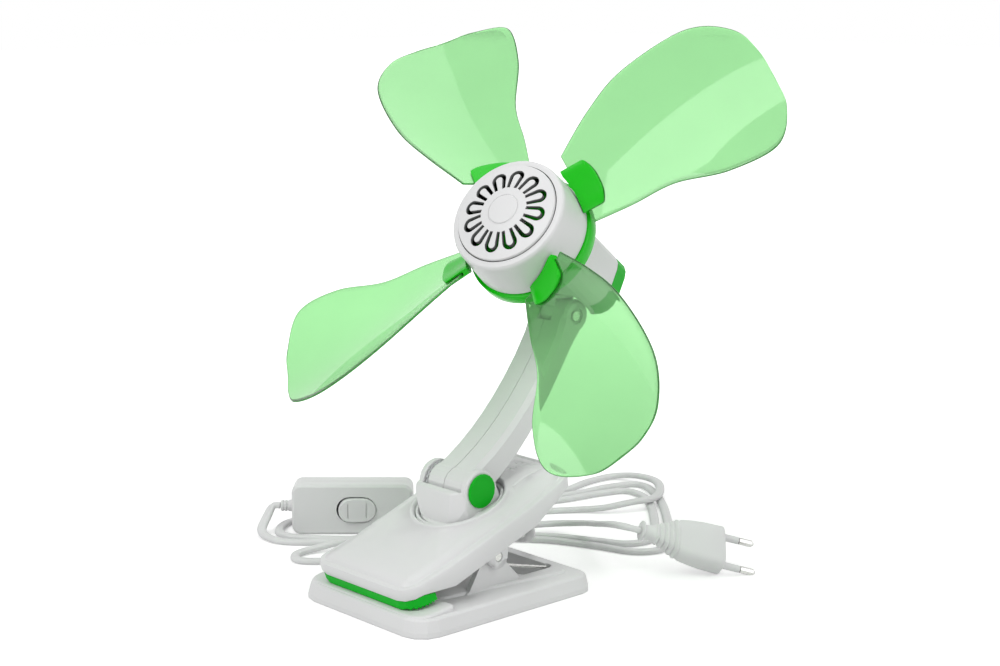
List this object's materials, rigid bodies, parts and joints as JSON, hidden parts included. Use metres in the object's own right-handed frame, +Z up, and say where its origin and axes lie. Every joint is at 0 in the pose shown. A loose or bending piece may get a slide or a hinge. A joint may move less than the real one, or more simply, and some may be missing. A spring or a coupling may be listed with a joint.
{
  "type": "clip fan",
  "caption": "Clip-on table fan with a sprung clamp foot, swivelling tilt arm, vented hub, wide translucent blades, in-line switch and corded plug.",
  "frame": {"origin": "centre of the clamp base's underside, on its flat cross rib, where it stands on the table", "axes": "+Z up, +X along the clamp's pivot pin to the right as seen from the nose, +Y from the clamp's nose to its rear handle"},
  "size_m": [0.2898, 0.2898, 0.2869],
  "materials": {
    "white_plastic": "satin",
    "green_plastic": "satin",
    "blade_plastic": "translucent, polished",
    "green_rubber": "ribbed, soft",
    "steel": "zinc plated",
    "lamination": "varnished laminations",
    "copper": "enamelled winding",
    "cord_plastic": "flexible, matt",
    "grey_plastic": "matt"
  },
  "bodies": {
    "base": {"clamp_base": "white_plastic", "pivot_pin": "steel", "clamp_spring_left": "steel", "clamp_spring_right": "steel", "cord_drop": "cord_plastic", "cord_fan_lead": "cord_plastic", "switch_front": "white_plastic", "switch_rear": "white_plastic", "switch_screw_1": "steel", "switch_screw_2": "steel", "switch_relief_plug_side": "white_plastic", "switch_relief_fan_side": "white_plastic", "cord_coil": "cord_plastic", "cord_plug_lead": "cord_plastic", "plug_body": "white_plastic", "plug_pin_upper": "steel", "plug_pin_lower": "steel"},
    "jaw": {"jaw_shell": "white_plastic", "jaw_grip": "green_rubber", "cord_gland": "white_plastic"},
    "yoke": {"yoke": "white_plastic", "tilt_bolt": "steel", "tilt_nut": "steel", "tilt_cap": "green_plastic", "swivel_washer": "steel", "swivel_screw": "steel"},
    "arm": {"arm_shell_left": "white_plastic", "arm_shell_right": "white_plastic", "arm_screw_1": "steel", "arm_screw_2": "steel", "arm_screw_3": "steel", "detent_ring": "grey_plastic", "head_pin": "steel"},
    "neck": {"head_neck": "white_plastic", "neck_washer": "steel", "neck_screw": "steel"},
    "head": {"motor_housing": "white_plastic", "rear_cap": "green_plastic", "cap_screw_left": "steel", "cap_screw_right": "steel", "stator_core": "lamination", "motor_coil": "copper", "rear_bridge": "steel", "front_bridge": "steel", "rear_bearing": "copper", "front_bearing": "copper"},
    "rotor": {"motor_shaft": "steel", "rotor_core": "lamination", "blade_carrier": "green_plastic", "blade_1": "blade_plastic", "blade_2": "blade_plastic", "blade_3": "blade_plastic", "blade_4": "blade_plastic", "hub_drum": "white_plastic", "hub_face": "white_plastic", "shaft_nut": "steel"},
    "rocker": {"switch_rocker": "white_plastic"}
  },
  "joints": [
    {"name": "clamp", "type": "hinge", "parent": "base", "child": "jaw", "pos_m": [0, 0.0042, 0.0264], "axis": [1, 0, 0], "range_deg": [-22, 0], "stiffness_Nm_per_rad": 0.9, "springref_deg": 20.05, "deforming": ["clamp_spring_left", "clamp_spring_right", "cord_drop"]},
    {"name": "foot_swivel", "type": "hinge", "parent": "jaw", "child": "yoke", "pos_m": [0, 0.01454, 0.03016], "axis": [0, -0.342, 0.9397], "range_deg": [-45, 45]},
    {"name": "arm_tilt", "type": "hinge", "parent": "yoke", "child": "arm", "pos_m": [0, 0.00698, 0.05647], "axis": [1, 0, 0], "range_deg": [-8, 15]},
    {"name": "head_tilt", "type": "hinge", "parent": "arm", "child": "neck", "pos_m": [0, 0.07838, 0.13647], "axis": [1, 0, 0], "range_deg": [-30, 8]},
    {"name": "head_swivel", "type": "hinge", "parent": "neck", "child": "head", "pos_m": [0, 0.07838, 0.13647], "axis": [0, 0, 1], "range_deg": [-55, 30]},
    {"name": "fan_spin", "type": "hinge", "parent": "head", "child": "rotor", "pos_m": [-0.00248, 0.08888, 0.15162], "axis": [0.1874, -0.7928, 0.58], "continuous": true},
    {"name": "switch_rocker", "type": "hinge", "parent": "base", "child": "rocker", "pos_m": [-0.11614, 0.03314, 0.0145], "axis": [0, 0, 1], "range_deg": [-10, 0]}
  ]
}
